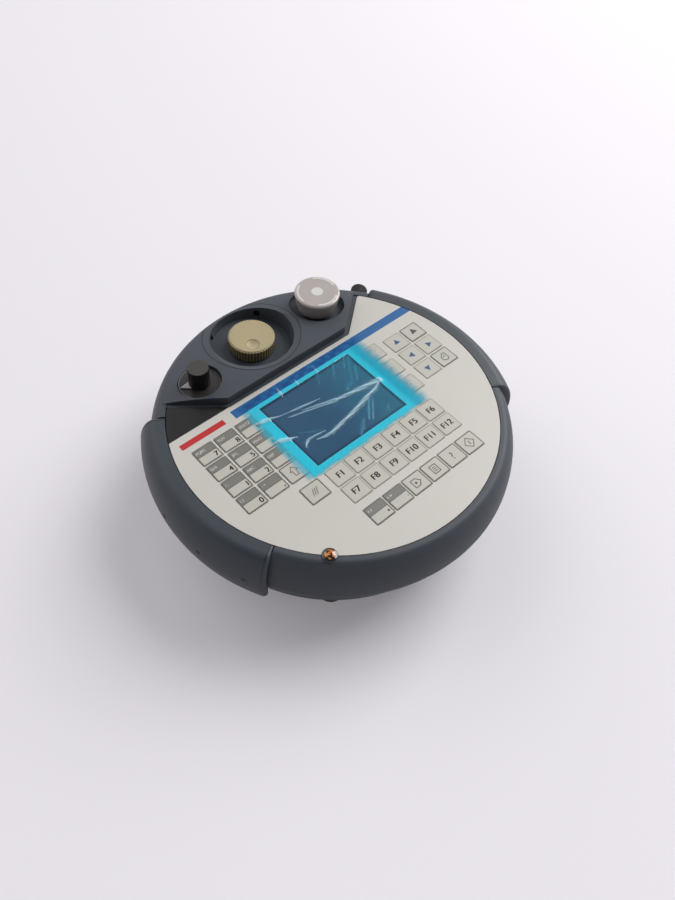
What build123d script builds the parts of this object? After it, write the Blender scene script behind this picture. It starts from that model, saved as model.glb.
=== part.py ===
from build123d import *
import os
from math import cos, hypot, radians, sin, tan

# Teach pendant: a round hand-held operator panel that lies on its back.
# Millimetres. +Z comes out of the face, +Y points to the console with the handwheel,
# and the origin is on the surface that the feet stand on, under the centre of the face.

# Overall form
front_depth = 36.0
bowl_swell = 10.8
bowl_tuck = 3.2
bulge_rise = 9.0
parting_gap = 0.8
shell_wall = 3.0
fit_gap = 0.2
slide_gap = 0.3
cut_margin = 1.0

# Face plate and the notch at its head
panel_margin = 9.41
plate_thickness = 2.4
plate_gap = 0.5
wing_round = 2.0
notch_half_width = 55.0
notch_angle = 38.7
head_band = 14.2
rim_flat = 2.2
seat_clearance = 1.9
seat_thickness = 3.0
bridge_width = 6.0

# Raised console round the notch
console_rise = 6.0
crown_meet = 83.6
ledge_width = 3.2
ledge_drop = 0.6

# Display
display_centre = (0.0, 1.15)
window_width = 81.6
window_height = 61.5
display_border = 5.2
display_depth = 9.0
glass_drop = 0.6

# Keys
key_width = 15.5
key_depth = 14.2
key_corner = 0.8
key_rise = 0.3
key_gap = 0.25
key_travel = 0.5
key_flange = 0.4
key_flange_thickness = 0.9

# Spaces between the keys of a group, and between groups
number_pad_space = (1.9, 1.4)
function_space = (1.36, 1.6)
cursor_space = (1.8, 2.0)
side_space = 5.0
number_pad_gap = 6.65
side_gap = 7.25
group_gap = 5.8
function_gap = 6.7
bottom_gap = 6.8
number_pad_y = 0.5
cursor_y = 1.4

# Keypad board
board_thickness = 1.6
board_overlap = 4.0
dome_radius = 3.0

# Handwheel and its dish
dish_x = -3.5
dish_margin = 2.5
dish_edge = 4.0
dish_flange = 2.0
dish_shoulder = 3.8
dish_bevel = 1.8
dish_lip = 0.6
dish_wall = 1.0
dish_draft = 2.6
dish_depth = 13.4
dish_floor = 2.5
dish_slots = 4
dish_slot_angle = 45.0
dish_slot_width = 4.5
dish_slot_rise = 1.4
dish_slot_height = 5.2
finger_room = 11.4
wheel_radius = 17.2
wheel_drop = 3.0
wheel_gap = 1.0
wheel_flutes = 48
wheel_flute_radius = 0.5
wheel_bevel = 0.8
wheel_dimple_radius = 10.0
wheel_dimple_depth = 1.3
wheel_dimple_place = 8.7
wheel_dimple_angle = 238.0
encoder_radius = 15.0
encoder_depth = 15.0

# Spindles that turn in a bush
spindle_radius = 3.0
spindle_gap = 0.05
bush_radius = 4.5

# Override knob
override_gap = 5.46
override_angle = 193.0
skirt_radius = 14.7
skirt_gap = 0.8
skirt_thickness = 1.9
skirt_lift = 0.5
override_recess_depth = 6.0
knob_radius = 7.4
knob_height = 15.7
knob_flutes = 24
knob_flute_radius = 0.45
pointer_angle = 164.0
pointer_width = 6.0
pointer_thickness = 1.2
override_switch_size = 22.0
override_switch_depth = 14.0

# Stop button
stop_gap = 2.0
stop_angle = -4.76
stop_ring_gap = 3.6
stop_recess_depth = 9.5
stop_travel = 4.0
stop_clearance = 0.5
stop_cap_height = 15.0
stop_cap_top_radius = 17.4
stop_cap_taper = 3.0
stop_cap_round = 1.6
plunger_radius = 8.0
plunger_socket = 6.2
stop_switch_wall = 5.2
stop_switch_depth = 18.0

# Side grips
grip_proud = 6.0
grip_ledge = 6.1
grip_bulge_rise = 13.0
grip_tuck = 2.4
grip_skirt = 2.0
grip_rebate = 3.0
grip_from = -30.0
grip_to = 35.5
grip_end_round = 2.5
dimple_radius = 3.0
dimple_depth = 1.0
dimple_rise = 16.0
dimple_angles = (-24.0, -9.0, 6.0, 20.0)

# Rear housing
base_round = 16.0
rear_step = 2.8
rear_taper = 12.0
tongue_height = 3.8
tongue_wall = 2.4

# Feet
foot_inset = 11.8
foot_angles = (49.0, 131.0, 229.0, 311.0)
foot_radius = 10.5
foot_thickness = 3.0
foot_boss = 2.0
foot_edge = 0.8

# Housing screws
screw_inset = 15.3
screw_angles = (23.0, 67.0, 113.0, 157.0, 235.0, 305.0)
screw_radius = 1.6
screw_grip = 10.0
screw_length = 22.0
screw_head_radius = 3.5
screw_head_height = 2.6
screw_gap = 0.15
screw_well_gap = 0.7
pillar_wall = 2.0
boss_wall = 2.85

# Enabling levers
lever_half_length = 30.0
lever_height = 15.0
lever_margin = 7.2
lever_proud = 2.0
lever_flange = 2.5
lever_flange_thickness = 2.0

# Cable gland
gland_angle = 39.5
gland_drop = 8.0
gland_bore_radius = 3.5
gland_wall = 3.0
gland_length = 15.4
gland_proud = 3.0
gland_round = 2.0


def polar(radius, angle, height=None):
    """Point at a radius and an angle about the centre of the face."""
    x = radius * cos(radians(angle))
    y = radius * sin(radians(angle))
    return (x, y) if height is None else (x, y, height)


# Places of the keys, by name: each group is set out from the display's window
def pitch(space):
    """Distance between neighbouring keys, across and along the face."""
    return (key_width + space[0], key_depth + space[1])


key_places = {}
pad_pitch = pitch(number_pad_space)
pad_last_x = display_centre[0] - window_width / 2 - number_pad_gap - key_width / 2
number_pad = (("7", "8", "9"), ("4", "5", "6"), ("1", "2", "3"), ("0", "point", "shift"))
for row, names in enumerate(number_pad):
    for column, name in enumerate(names):
        key_y = number_pad_y + (1.5 - row) * pad_pitch[1]
        key_places["key_" + name] = (pad_last_x + (column - 2) * pad_pitch[0], key_y)
function_pitch = pitch(function_space)
function_x = pad_last_x + key_width + group_gap
upper_row_y = display_centre[1] - window_height / 2 - function_gap - key_depth / 2
lower_row_y = upper_row_y - function_pitch[1]
bottom_row_y = lower_row_y - key_depth - bottom_gap
key_places["key_clear"] = (pad_last_x, upper_row_y)
bottom_row = ("plus", "minus", "tag", "print", "help", "enter")
for column, name in enumerate(bottom_row):
    key_x = function_x + column * function_pitch[0]
    key_places["key_f%d" % (column + 1)] = (key_x, upper_row_y)
    key_places["key_f%d" % (column + 1 + len(bottom_row))] = (key_x, lower_row_y)
    key_places["key_" + name] = (key_x, bottom_row_y)
cursor_pitch = pitch(cursor_space)
side_x = display_centre[0] + window_width / 2 + side_gap + key_width / 2
cursor_x = side_x + key_width + group_gap
cursor_keys = (("up", "page"), ("left", "right"), ("down", "hand"))
side_keys = ("side_upper", "side_middle", "side_lower")
for row, names in enumerate(cursor_keys):
    for column, name in enumerate(names):
        key_x = cursor_x + column * cursor_pitch[0]
        key_places["key_" + name] = (key_x, cursor_y + (1 - row) * cursor_pitch[1])
    key_places["key_" + side_keys[row]] = (side_x, cursor_y + (1 - row) * (key_depth + side_space))
key_reach = max(hypot(abs(x) + key_width / 2, abs(y) + key_depth / 2) for x, y in key_places.values())

# Dish, set out from the head of the display and from the wheel that it holds
notch_front = display_centre[1] + window_height / 2 + head_band
dish_floor_radius = wheel_radius + finger_room
dish_mouth_radius = dish_floor_radius + dish_draft
dish_body_radius = dish_mouth_radius + dish_wall
dish_radius = dish_body_radius + dish_shoulder
dish_centre = (dish_x, notch_front + ledge_width + dish_margin + dish_radius)

# Radii, from the keys and the dish outwards
dish_reach = hypot(*dish_centre) + dish_radius + dish_edge
plate_radius = max(key_reach + panel_margin, dish_reach - bowl_swell - rim_flat - plate_gap)
seat_radius = plate_radius + plate_gap
seat_inner_radius = key_reach + seat_clearance
rim_radius = seat_radius + rim_flat
crown_radius = hypot(notch_half_width, notch_front)
bowl_radius = rim_radius + bowl_swell
inner_radius = bowl_radius - shell_wall - bowl_tuck
grip_radius = bowl_radius + grip_proud
rear_rim_radius = bowl_radius - bowl_tuck - rear_step
base_corner_radius = rear_rim_radius - rear_taper
gland_outer_reach = bowl_radius + gland_proud
gland_inner_reach = gland_outer_reach - gland_length
gland_radius = gland_bore_radius + gland_wall

# Heights, from the feet upwards
base_height = foot_thickness + foot_boss
lever_low = base_height + base_round
lever_high = lever_low + lever_height
rear_top = lever_high + lever_margin
parting_height = rear_top + parting_gap
screw_seat_height = parting_height - screw_grip
grip_bottom = parting_height - grip_skirt
bulge_height = parting_height + bulge_rise
grip_bulge_height = parting_height + grip_bulge_rise
dimple_height = parting_height + dimple_rise
face_height = parting_height + front_depth
seat_height = face_height - plate_thickness
seat_floor = seat_height - seat_thickness
console_height = face_height + console_rise
ledge_height = face_height - ledge_drop
rebate_height = face_height - grip_rebate
gland_height = face_height - gland_drop
cone_slope = rear_taper / (rear_top - base_height)
cone_norm = hypot(1.0, cone_slope)

# Places of the other controls, screws and feet
boss_radius = screw_radius + screw_gap + boss_wall
screw_well_radius = screw_head_radius + screw_well_gap
screw_place = rear_rim_radius - screw_inset
screw_places = [polar(screw_place, angle) for angle in screw_angles]
foot_place = base_corner_radius - foot_inset
foot_places = [polar(foot_place, angle) for angle in foot_angles]
gland_outwards = polar(1.0, gland_angle, 0.0)
override_recess_radius = skirt_radius + skirt_gap
override_reach = dish_radius + override_gap + override_recess_radius
override_centre = tuple(Vector(dish_centre) + Vector(polar(override_reach, override_angle)))[:2]
stop_recess_radius = stop_cap_top_radius + stop_ring_gap
stop_reach = dish_radius + stop_gap + stop_recess_radius
stop_centre = tuple(Vector(dish_centre) + Vector(polar(stop_reach, stop_angle)))[:2]


def section_plane(angle=0.0, centre=(0.0, 0.0)):
    """Upright plane through an axis: local x runs outwards, local y runs up."""
    outwards = polar(1.0, angle, 0.0)
    return Plane(origin=(*centre, 0.0), x_dir=outwards, z_dir=(outwards[1], -outwards[0], 0.0))


def upright(centre):
    """Vertical axis through a control."""
    return Axis((*centre, 0.0), (0, 0, 1))


def notch(inset, mode=Mode.INTERSECT):
    """The trapezoid at the head of the face, its edges moved inwards by inset."""
    half = notch_half_width - inset * tan(radians(notch_angle / 2))
    front = notch_front + inset
    far_x = half + bowl_radius * cos(radians(notch_angle))
    far_y = front + bowl_radius * sin(radians(notch_angle))
    top = 2 * bowl_radius
    Polygon(
        (-half, front), (half, front), (far_x, far_y),
        (far_x, top), (-far_x, top), (-far_x, far_y),
        align=None, mode=mode,
    )


def cone_radius(height):
    """Outside radius of the rear housing's tapered wall at a height."""
    return base_corner_radius + cone_slope * (height - base_height)


def cone_band(inside, outside, low, high):
    """Section of a band that follows the tapered wall, between two offsets from it."""
    corners = []
    for offset_out, height in ((inside, low), (outside, low), (outside, high), (inside, high)):
        corners.append((cone_radius(height) + offset_out * cone_norm, height))
    Polygon(*corners, align=None)


def gland_plane(reach):
    """Plane across the cable gland, at a distance from the centre of the face."""
    return Plane(origin=polar(reach, gland_angle, gland_height), z_dir=gland_outwards)


os.makedirs("parts", exist_ok=True)


def keep(piece, name):
    """Label a finished piece and write its file."""
    piece.part.label = name
    export_step(piece.part, "parts/" + name + ".step")


# Crown: the bowl's outline with a raised top that falls towards the rim; the console and the dish follow it
with BuildPart() as crown:
    with BuildSketch(Plane.XZ):
        with BuildLine():
            side_line = EllipticalCenterArc(
                (rim_radius, bulge_height), bowl_radius - rim_radius, face_height - bulge_height,
                arc_size=crown_meet,
            )
            top_line = TangentArc((crown_radius, console_height), side_line @ 1, tangent=(1, 0))
            Polyline(top_line @ 0, (0, console_height), (0, bulge_height), side_line @ 0)
        make_face()
    revolve(axis=Axis.Z)

with BuildPart() as console:
    add(crown.part)
    with BuildSketch(Plane.XY.offset(seat_floor)):
        Circle(bowl_radius)
        notch(ledge_width)
    extrude(amount=console_height - seat_floor, mode=Mode.INTERSECT)

# Layer of the console that the dish's flange takes up
lowered_crown = crown.part.moved(Location((0, 0, -dish_flange)))
with BuildPart() as flange_seat:
    with BuildSketch(Plane.XY.offset(bulge_height)):
        with Locations(dish_centre):
            Circle(dish_radius + fit_gap)
    extrude(amount=console_height - bulge_height)
    add(lowered_crown, mode=Mode.SUBTRACT)

# Front housing: bowl-shaped bezel, seat for the face plate, and the solid console
bush_hole_radius = bush_radius + fit_gap
with BuildPart() as front_housing:
    with BuildSketch(Plane.XZ):
        with BuildLine():
            brow = EllipticalCenterArc(
                (rim_radius, bulge_height), bowl_radius - rim_radius, face_height - bulge_height, arc_size=90
            )
            tuck = TangentArc(
                (bowl_radius, bulge_height), (bowl_radius - bowl_tuck, parting_height), tangent=(0, -1)
            )
            Polyline(
                brow @ 1, (seat_radius, face_height), (seat_radius, seat_height),
                (seat_inner_radius, seat_height), (seat_inner_radius, seat_floor), (rim_radius, seat_floor),
                (inner_radius, bulge_height), (inner_radius, parting_height), tuck @ 1,
            )
        make_face()
    revolve(axis=Axis.Z)
    # Bridge under the head edge of the face plate, ledge before the console, and the console itself
    with BuildSketch(Plane.XY.offset(seat_floor)):
        Circle(seat_radius)
        notch(-bridge_width)
    extrude(amount=seat_height - seat_floor)
    with BuildSketch(Plane.XY.offset(seat_floor)):
        Circle(rim_radius)
        notch(plate_gap)
    extrude(amount=ledge_height - seat_floor)
    add(console.part)
    # Openings for the dish, the override knob and the stop button
    add(flange_seat.part, mode=Mode.SUBTRACT)
    with BuildSketch(Plane.XY.offset(console_height)):
        with Locations(dish_centre):
            Circle(dish_body_radius + fit_gap)
    extrude(amount=bulge_height - console_height, mode=Mode.SUBTRACT)
    with BuildSketch(Plane.XY.offset(console_height)):
        with Locations(override_centre):
            Circle(override_recess_radius)
    extrude(amount=-override_recess_depth, mode=Mode.SUBTRACT)
    with BuildSketch(Plane.XY.offset(console_height)):
        with Locations(stop_centre):
            Circle(stop_recess_radius)
    extrude(amount=-stop_recess_depth, mode=Mode.SUBTRACT)
    with BuildSketch(Plane.XY.offset(seat_floor)):
        with Locations(override_centre):
            Circle(bush_hole_radius)
        with Locations(stop_centre):
            Circle(plunger_radius + slide_gap)
    extrude(amount=console_height - seat_floor, mode=Mode.SUBTRACT)
    # Bosses that the housing screws go into
    with BuildSketch(Plane.XY.offset(parting_height)):
        with Locations(screw_places):
            Circle(boss_radius)
    extrude(amount=seat_floor - parting_height)
    with BuildSketch(Plane.XY.offset(parting_height)):
        with Locations(screw_places):
            Circle(screw_radius + screw_gap)
    extrude(amount=screw_length, mode=Mode.SUBTRACT)
    # Rebates that take the inner lips of the grips
    for start in (grip_from, 180.0 - grip_to):
        with BuildSketch(section_plane(start)):
            with Locations((seat_radius, rebate_height)):
                Rectangle(bowl_radius, console_rise, align=(Align.MIN, Align.MIN))
        revolve(axis=Axis.Z, revolution_arc=grip_to - grip_from, mode=Mode.SUBTRACT)
    # Way for the cable gland through the wall
    with BuildSketch(gland_plane(gland_inner_reach)):
        Circle(gland_radius + fit_gap)
    extrude(amount=bowl_radius, mode=Mode.SUBTRACT)
keep(front_housing, "front_housing")

# Rear housing: tapered shell with feet, screw wells, lever windows and a tongue at its rim
cone_reach = shell_wall * cone_norm
well_outer_radius = screw_well_radius + pillar_wall
with BuildPart() as rear_cavity:
    with BuildSketch(Plane.XZ):
        with BuildLine():
            inside_line = FilletPolyline(
                (0, base_height + shell_wall),
                (cone_radius(base_height + shell_wall) - cone_reach, base_height + shell_wall),
                (rear_rim_radius - cone_reach, rear_top),
                radius=base_round - shell_wall,
            )
            Polyline(inside_line @ 1, (0, rear_top), inside_line @ 0)
        make_face()
    revolve(axis=Axis.Z)
    with BuildSketch():
        with Locations(screw_places):
            Circle(well_outer_radius)
    extrude(amount=rear_top, mode=Mode.SUBTRACT)

with BuildPart() as rear_housing:
    with BuildSketch(Plane.XZ):
        with BuildLine():
            outside_line = FilletPolyline(
                (0, base_height), (base_corner_radius, base_height), (rear_rim_radius, rear_top),
                radius=base_round,
            )
            Polyline(outside_line @ 1, (0, rear_top), outside_line @ 0)
        make_face()
    revolve(axis=Axis.Z)
    with BuildSketch(Plane.XY.offset(foot_thickness)):
        with Locations(foot_places):
            Circle(foot_radius)
    extrude(amount=base_round)
    add(rear_cavity.part, mode=Mode.SUBTRACT)
    # Tongue that stands inside the front housing's wall
    with BuildSketch(Plane.XY.offset(rear_top)):
        Circle(inner_radius - slide_gap)
        Circle(inner_radius - slide_gap - tongue_wall, mode=Mode.SUBTRACT)
    extrude(amount=tongue_height)
    # Pillars meet the bosses, and the wells let the screws in from below
    with BuildSketch(Plane.XY.offset(screw_seat_height)):
        with Locations(screw_places):
            Circle(boss_radius)
    extrude(amount=parting_height - screw_seat_height)
    with BuildSketch():
        with Locations(screw_places):
            Circle(screw_well_radius)
    extrude(amount=screw_seat_height, mode=Mode.SUBTRACT)
    with BuildSketch(Plane.XY.offset(screw_seat_height)):
        with Locations(screw_places):
            Circle(screw_radius + screw_gap)
    extrude(amount=parting_height - screw_seat_height, mode=Mode.SUBTRACT)
    # Windows for the enabling levers
    with BuildSketch(Plane.XY.offset(lever_low - slide_gap)):
        Rectangle(2 * bowl_radius, 2 * (lever_half_length + slide_gap))
        Circle(foot_place, mode=Mode.SUBTRACT)
    extrude(amount=lever_high - lever_low + 2 * slide_gap, mode=Mode.SUBTRACT)
keep(rear_housing, "rear_housing")

# Side grips: mouldings that wrap the bowl, with a ledge level with the face and four dimples
lip_radius = seat_radius + fit_gap
ledge_radius = lip_radius + grip_ledge
grip_sector = grip_to - grip_from
with BuildPart() as right_grip:
    with BuildSketch(section_plane(grip_from)):
        with BuildLine():
            crest = EllipticalCenterArc(
                (ledge_radius, grip_bulge_height), grip_radius - ledge_radius,
                face_height - grip_bulge_height, arc_size=90,
            )
            heel = TangentArc(
                (grip_radius, grip_bulge_height), (grip_radius - grip_tuck, grip_bottom), tangent=(0, -1)
            )
            Polyline(crest @ 1, (lip_radius, face_height), (lip_radius, grip_bottom), heel @ 1)
        make_face()
    revolve(axis=Axis.Z, revolution_arc=grip_sector)
    # Hollow that fits over the bowl
    with BuildSketch(section_plane(grip_from)):
        with BuildLine():
            over = EllipticalCenterArc(
                (rim_radius, bulge_height), bowl_radius - rim_radius + fit_gap,
                face_height - bulge_height + fit_gap, arc_size=90,
            )
            Polyline(
                over @ 0, (bowl_radius + fit_gap, 0), (seat_inner_radius, 0),
                (seat_inner_radius, face_height + fit_gap), over @ 1,
            )
        make_face()
        with Locations((seat_inner_radius, 0)):
            Rectangle(
                bowl_radius, rebate_height + fit_gap, align=(Align.MIN, Align.MIN), mode=Mode.INTERSECT
            )
    revolve(axis=Axis.Z, revolution_arc=grip_sector, mode=Mode.SUBTRACT)
    end_edges = ShapeList()
    for end_face in right_grip.faces().filter_by(GeomType.PLANE):
        if abs(end_face.normal_at().Z) < 0.5:
            end_edges += end_face.edges().filter_by(GeomType.ELLIPSE).sort_by(SortBy.LENGTH)[-1:]
            end_edges += end_face.edges().filter_by(GeomType.CIRCLE)
    fillet(end_edges, grip_end_round)
    for angle in dimple_angles:
        with Locations(polar(grip_radius + dimple_radius - dimple_depth, angle, dimple_height)):
            Sphere(dimple_radius, mode=Mode.SUBTRACT)
keep(right_grip, "right_grip")

with BuildPart() as left_grip:
    mirror(right_grip.part, about=Plane.YZ)
keep(left_grip, "left_grip")

# Face plate: pale panel with a window and a hole for each key
with BuildPart() as face_plate:
    with BuildSketch(Plane.XY.offset(seat_height)) as plate_outline:
        Circle(plate_radius)
        notch(0.0, mode=Mode.SUBTRACT)
        wing_tips = plate_outline.vertices().sort_by(Axis.Y)[-2:]
        fillet(wing_tips, wing_round)
        with Locations(display_centre):
            Rectangle(window_width, window_height, mode=Mode.SUBTRACT)
        with Locations(list(key_places.values())):
            RectangleRounded(
                key_width + 2 * key_gap, key_depth + 2 * key_gap, key_corner + key_gap, mode=Mode.SUBTRACT
            )
    extrude(amount=plate_thickness)
keep(face_plate, "face_plate")

# Keys: caps held under the plate by a flange, each over its own dome
key_flange_top = seat_height - slide_gap
key_bottom = key_flange_top - key_flange_thickness
for name, place in key_places.items():
    with BuildPart() as key:
        with BuildSketch(Plane.XY.offset(key_bottom)):
            with Locations(place):
                Rectangle(key_width + 2 * key_flange, key_depth + 2 * key_flange)
        extrude(amount=key_flange_thickness)
        with BuildSketch(Plane.XY.offset(key_bottom)):
            with Locations(place):
                RectangleRounded(key_width, key_depth, key_corner)
        extrude(amount=face_height + key_rise - key_bottom)
    keep(key, name)

# Display module: glass in the window, on a body that seats behind the plate
with BuildPart() as display_module:
    with BuildSketch(Plane.XY.offset(seat_height)):
        with Locations(display_centre):
            Rectangle(window_width + 2 * display_border, window_height + 2 * display_border)
    extrude(amount=-display_depth)
    with BuildSketch(Plane.XY.offset(seat_height)):
        with Locations(display_centre):
            Rectangle(window_width - 2 * fit_gap, window_height - 2 * fit_gap)
    extrude(amount=plate_thickness - glass_drop)
keep(display_module, "display_module")

# Keypad board: seats under the housing's rim, with a dome for each key
dome_height = key_bottom - key_travel - slide_gap - seat_floor
with BuildPart() as keypad_board:
    with BuildSketch(Plane.XY.offset(seat_floor)):
        Circle(seat_inner_radius + board_overlap)
        notch(-bridge_width, mode=Mode.SUBTRACT)
        with Locations(display_centre):
            Rectangle(
                window_width + 2 * (display_border + slide_gap),
                window_height + 2 * (display_border + slide_gap), mode=Mode.SUBTRACT,
            )
        with Locations(screw_places):
            Circle(boss_radius + slide_gap, mode=Mode.SUBTRACT)
    extrude(amount=-board_thickness)
    with BuildSketch(Plane.XY.offset(seat_floor)):
        with Locations(list(key_places.values())):
            Circle(dome_radius)
    extrude(amount=dome_height)
keep(keypad_board, "keypad_board")

# Handwheel dish: flanged bowl let into the console, with a bevelled mouth and four slots in its wall
dish_floor_height = console_height - dish_depth
dish_bottom = dish_floor_height - dish_floor
with BuildPart() as handwheel_dish:
    with BuildSketch(Plane.XY.offset(bulge_height)):
        with Locations(dish_centre):
            Circle(dish_radius)
    extrude(amount=console_height - bulge_height)
    add(lowered_crown, mode=Mode.SUBTRACT)
    with BuildSketch(Plane.XY.offset(dish_bottom)):
        with Locations(dish_centre):
            Circle(dish_body_radius)
    extrude(amount=console_height - dish_bottom)
    add(crown.part, mode=Mode.INTERSECT)
    with BuildSketch(section_plane(centre=dish_centre)):
        Polygon(
            (0, dish_floor_height), (dish_floor_radius, dish_floor_height),
            (dish_mouth_radius, console_height - dish_bevel), (dish_radius - dish_lip, console_height),
            (0, console_height), align=None,
        )
    revolve(axis=upright(dish_centre), mode=Mode.SUBTRACT)
    with BuildSketch(Plane.XY.offset(dish_bottom)):
        with Locations(dish_centre):
            Circle(bush_hole_radius)
    extrude(amount=dish_floor, mode=Mode.SUBTRACT)
    with BuildSketch(Plane.XY.offset(dish_floor_height + dish_slot_rise)):
        with Locations(dish_centre):
            with PolarLocations(dish_floor_radius - dish_slot_width / 2, dish_slots, dish_slot_angle):
                Rectangle(2 * dish_slot_width, dish_slot_width)
    extrude(amount=dish_slot_height, mode=Mode.SUBTRACT)
keep(handwheel_dish, "handwheel_dish")

# Handwheel: fluted wheel with a finger dimple, on a spindle that turns in the encoder
wheel_bottom = dish_floor_height + wheel_gap
wheel_top = console_height - wheel_drop
encoder_top = dish_bottom
with BuildPart() as handwheel:
    with BuildSketch(Plane.XY.offset(wheel_bottom)):
        with Locations(dish_centre):
            Circle(wheel_radius)
            with PolarLocations(wheel_radius, wheel_flutes):
                Circle(wheel_flute_radius, mode=Mode.SUBTRACT)
    extrude(amount=wheel_top - wheel_bevel - wheel_bottom)
    with BuildSketch(Plane.XY.offset(wheel_top - wheel_bevel)):
        with Locations(dish_centre):
            Circle(wheel_radius - wheel_flute_radius)
    extrude(amount=wheel_bevel, taper=45)
    dimple_x, dimple_y = polar(wheel_dimple_place, wheel_dimple_angle)
    dimple_centre_height = wheel_top + wheel_dimple_radius - wheel_dimple_depth
    with Locations((dish_centre[0] + dimple_x, dish_centre[1] + dimple_y, dimple_centre_height)):
        Sphere(wheel_dimple_radius, mode=Mode.SUBTRACT)
    with BuildSketch(Plane.XY.offset(wheel_bottom)):
        with Locations(dish_centre):
            Circle(spindle_radius)
    extrude(amount=encoder_top - encoder_depth / 2 - wheel_bottom)
keep(handwheel, "handwheel")

with BuildPart() as handwheel_encoder:
    with BuildSketch(Plane.XY.offset(encoder_top)):
        with Locations(dish_centre):
            Circle(encoder_radius)
    extrude(amount=-encoder_depth)
    with BuildSketch(Plane.XY.offset(encoder_top)):
        with Locations(dish_centre):
            Circle(bush_radius)
    extrude(amount=dish_floor)
    with BuildSketch(Plane.XY.offset(dish_floor_height)):
        with Locations(dish_centre):
            Circle(spindle_radius + spindle_gap)
    extrude(amount=-(dish_floor + encoder_depth / 2 + slide_gap), mode=Mode.SUBTRACT)
keep(handwheel_encoder, "handwheel_encoder")

# Override knob: fluted knob on a skirt with a raised pointer
override_floor = console_height - override_recess_depth
skirt_bottom = override_floor + skirt_lift
skirt_top = skirt_bottom + skirt_thickness
override_spindle_end = seat_floor - override_switch_depth / 2
with BuildPart() as override_knob:
    with BuildSketch(Plane.XY.offset(skirt_bottom)):
        with Locations(override_centre):
            Circle(skirt_radius)
    extrude(amount=skirt_thickness)
    with BuildSketch(Plane.XY.offset(skirt_top)):
        with Locations(override_centre):
            Circle(knob_radius)
            with PolarLocations(knob_radius, knob_flutes):
                Circle(knob_flute_radius, mode=Mode.SUBTRACT)
    extrude(amount=knob_height)
    with BuildSketch(Plane.XY.offset(skirt_top)):
        with Locations(Location((*override_centre, 0.0), (0, 0, pointer_angle))):
            Polygon(
                (0, -pointer_width / 2), (knob_radius, -pointer_width / 2), (skirt_radius - skirt_gap, 0),
                (knob_radius, pointer_width / 2), (0, pointer_width / 2), align=None,
            )
    extrude(amount=pointer_thickness)
    with BuildSketch(Plane.XY.offset(skirt_bottom)):
        with Locations(override_centre):
            Circle(spindle_radius)
    extrude(amount=override_spindle_end - skirt_bottom)
keep(override_knob, "override_knob")

with BuildPart() as override_switch:
    with BuildSketch(Plane.XY.offset(seat_floor)):
        with Locations(override_centre):
            Rectangle(override_switch_size, override_switch_size)
    extrude(amount=-override_switch_depth)
    with BuildSketch(Plane.XY.offset(seat_floor)):
        with Locations(override_centre):
            Circle(bush_radius)
    extrude(amount=override_floor - seat_floor)
    with BuildSketch(Plane.XY.offset(override_floor)):
        with Locations(override_centre):
            Circle(spindle_radius + spindle_gap)
    extrude(amount=override_spindle_end - slide_gap - override_floor, mode=Mode.SUBTRACT)
keep(override_switch, "override_switch")

# Stop button: tapered cap that turns on a plunger, which slides into the switch
stop_floor = console_height - stop_recess_depth
cap_bottom = stop_floor + stop_travel + stop_clearance
cap_top = cap_bottom + stop_cap_height
socket_top = cap_bottom + plunger_socket
with BuildPart() as stop_cap:
    with BuildSketch(section_plane(centre=stop_centre)):
        with BuildLine():
            FilletPolyline(
                (plunger_radius + spindle_gap, cap_bottom),
                (stop_cap_top_radius - stop_cap_taper, cap_bottom),
                (stop_cap_top_radius, cap_top), (0, cap_top), (0, socket_top),
                (plunger_radius + spindle_gap, socket_top),
                radius=(0, stop_cap_round, 0, 0, 0, 0), close=True,
            )
        make_face()
    revolve(axis=upright(stop_centre))
    fillet(stop_cap.faces().sort_by(Axis.Z)[-1].edges(), stop_cap_round)
keep(stop_cap, "stop_cap")

switch_bottom = seat_floor - stop_switch_depth
plunger_bottom = switch_bottom + shell_wall + stop_travel + stop_clearance
with BuildPart() as stop_plunger:
    with BuildSketch(Plane.XY.offset(plunger_bottom)):
        with Locations(stop_centre):
            Circle(plunger_radius)
    extrude(amount=socket_top - plunger_bottom)
keep(stop_plunger, "stop_plunger")

with BuildPart() as stop_switch:
    with BuildSketch(Plane.XY.offset(switch_bottom)):
        with Locations(stop_centre):
            Circle(plunger_radius + slide_gap + stop_switch_wall)
    extrude(amount=stop_switch_depth)
    with BuildSketch(Plane.XY.offset(switch_bottom + shell_wall)):
        with Locations(stop_centre):
            Circle(plunger_radius + slide_gap)
    extrude(amount=stop_switch_depth, mode=Mode.SUBTRACT)
keep(stop_switch, "stop_switch")

# Enabling levers: curved pads in the rear housing's windows, held inside by a flange
flange_outer = -shell_wall - slide_gap
with BuildPart() as lever_back:
    with BuildSketch(Plane.XZ):
        cone_band(
            flange_outer - lever_flange_thickness, flange_outer,
            lever_low - lever_flange - cut_margin, lever_high + lever_flange + cut_margin,
        )
    revolve(axis=Axis.Z)
    with BuildSketch(Plane.XY.offset(lever_low - lever_flange)):
        Rectangle(bowl_radius, 2 * (lever_half_length - lever_flange), align=(Align.MIN, Align.CENTER))
    extrude(amount=lever_height + 2 * lever_flange, mode=Mode.INTERSECT)

with BuildPart() as enabling_lever_right:
    with BuildSketch(Plane.XZ):
        cone_band(flange_outer, lever_proud, lever_low - cut_margin, lever_high + cut_margin)
    revolve(axis=Axis.Z)
    with BuildSketch(Plane.XY.offset(lever_low)):
        Rectangle(bowl_radius, 2 * lever_half_length, align=(Align.MIN, Align.CENTER))
    extrude(amount=lever_height, mode=Mode.INTERSECT)
    add(lever_back.part)
keep(enabling_lever_right, "enabling_lever_right")

with BuildPart() as enabling_lever_left:
    mirror(enabling_lever_right.part, about=Plane.YZ)
keep(enabling_lever_left, "enabling_lever_left")

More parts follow.
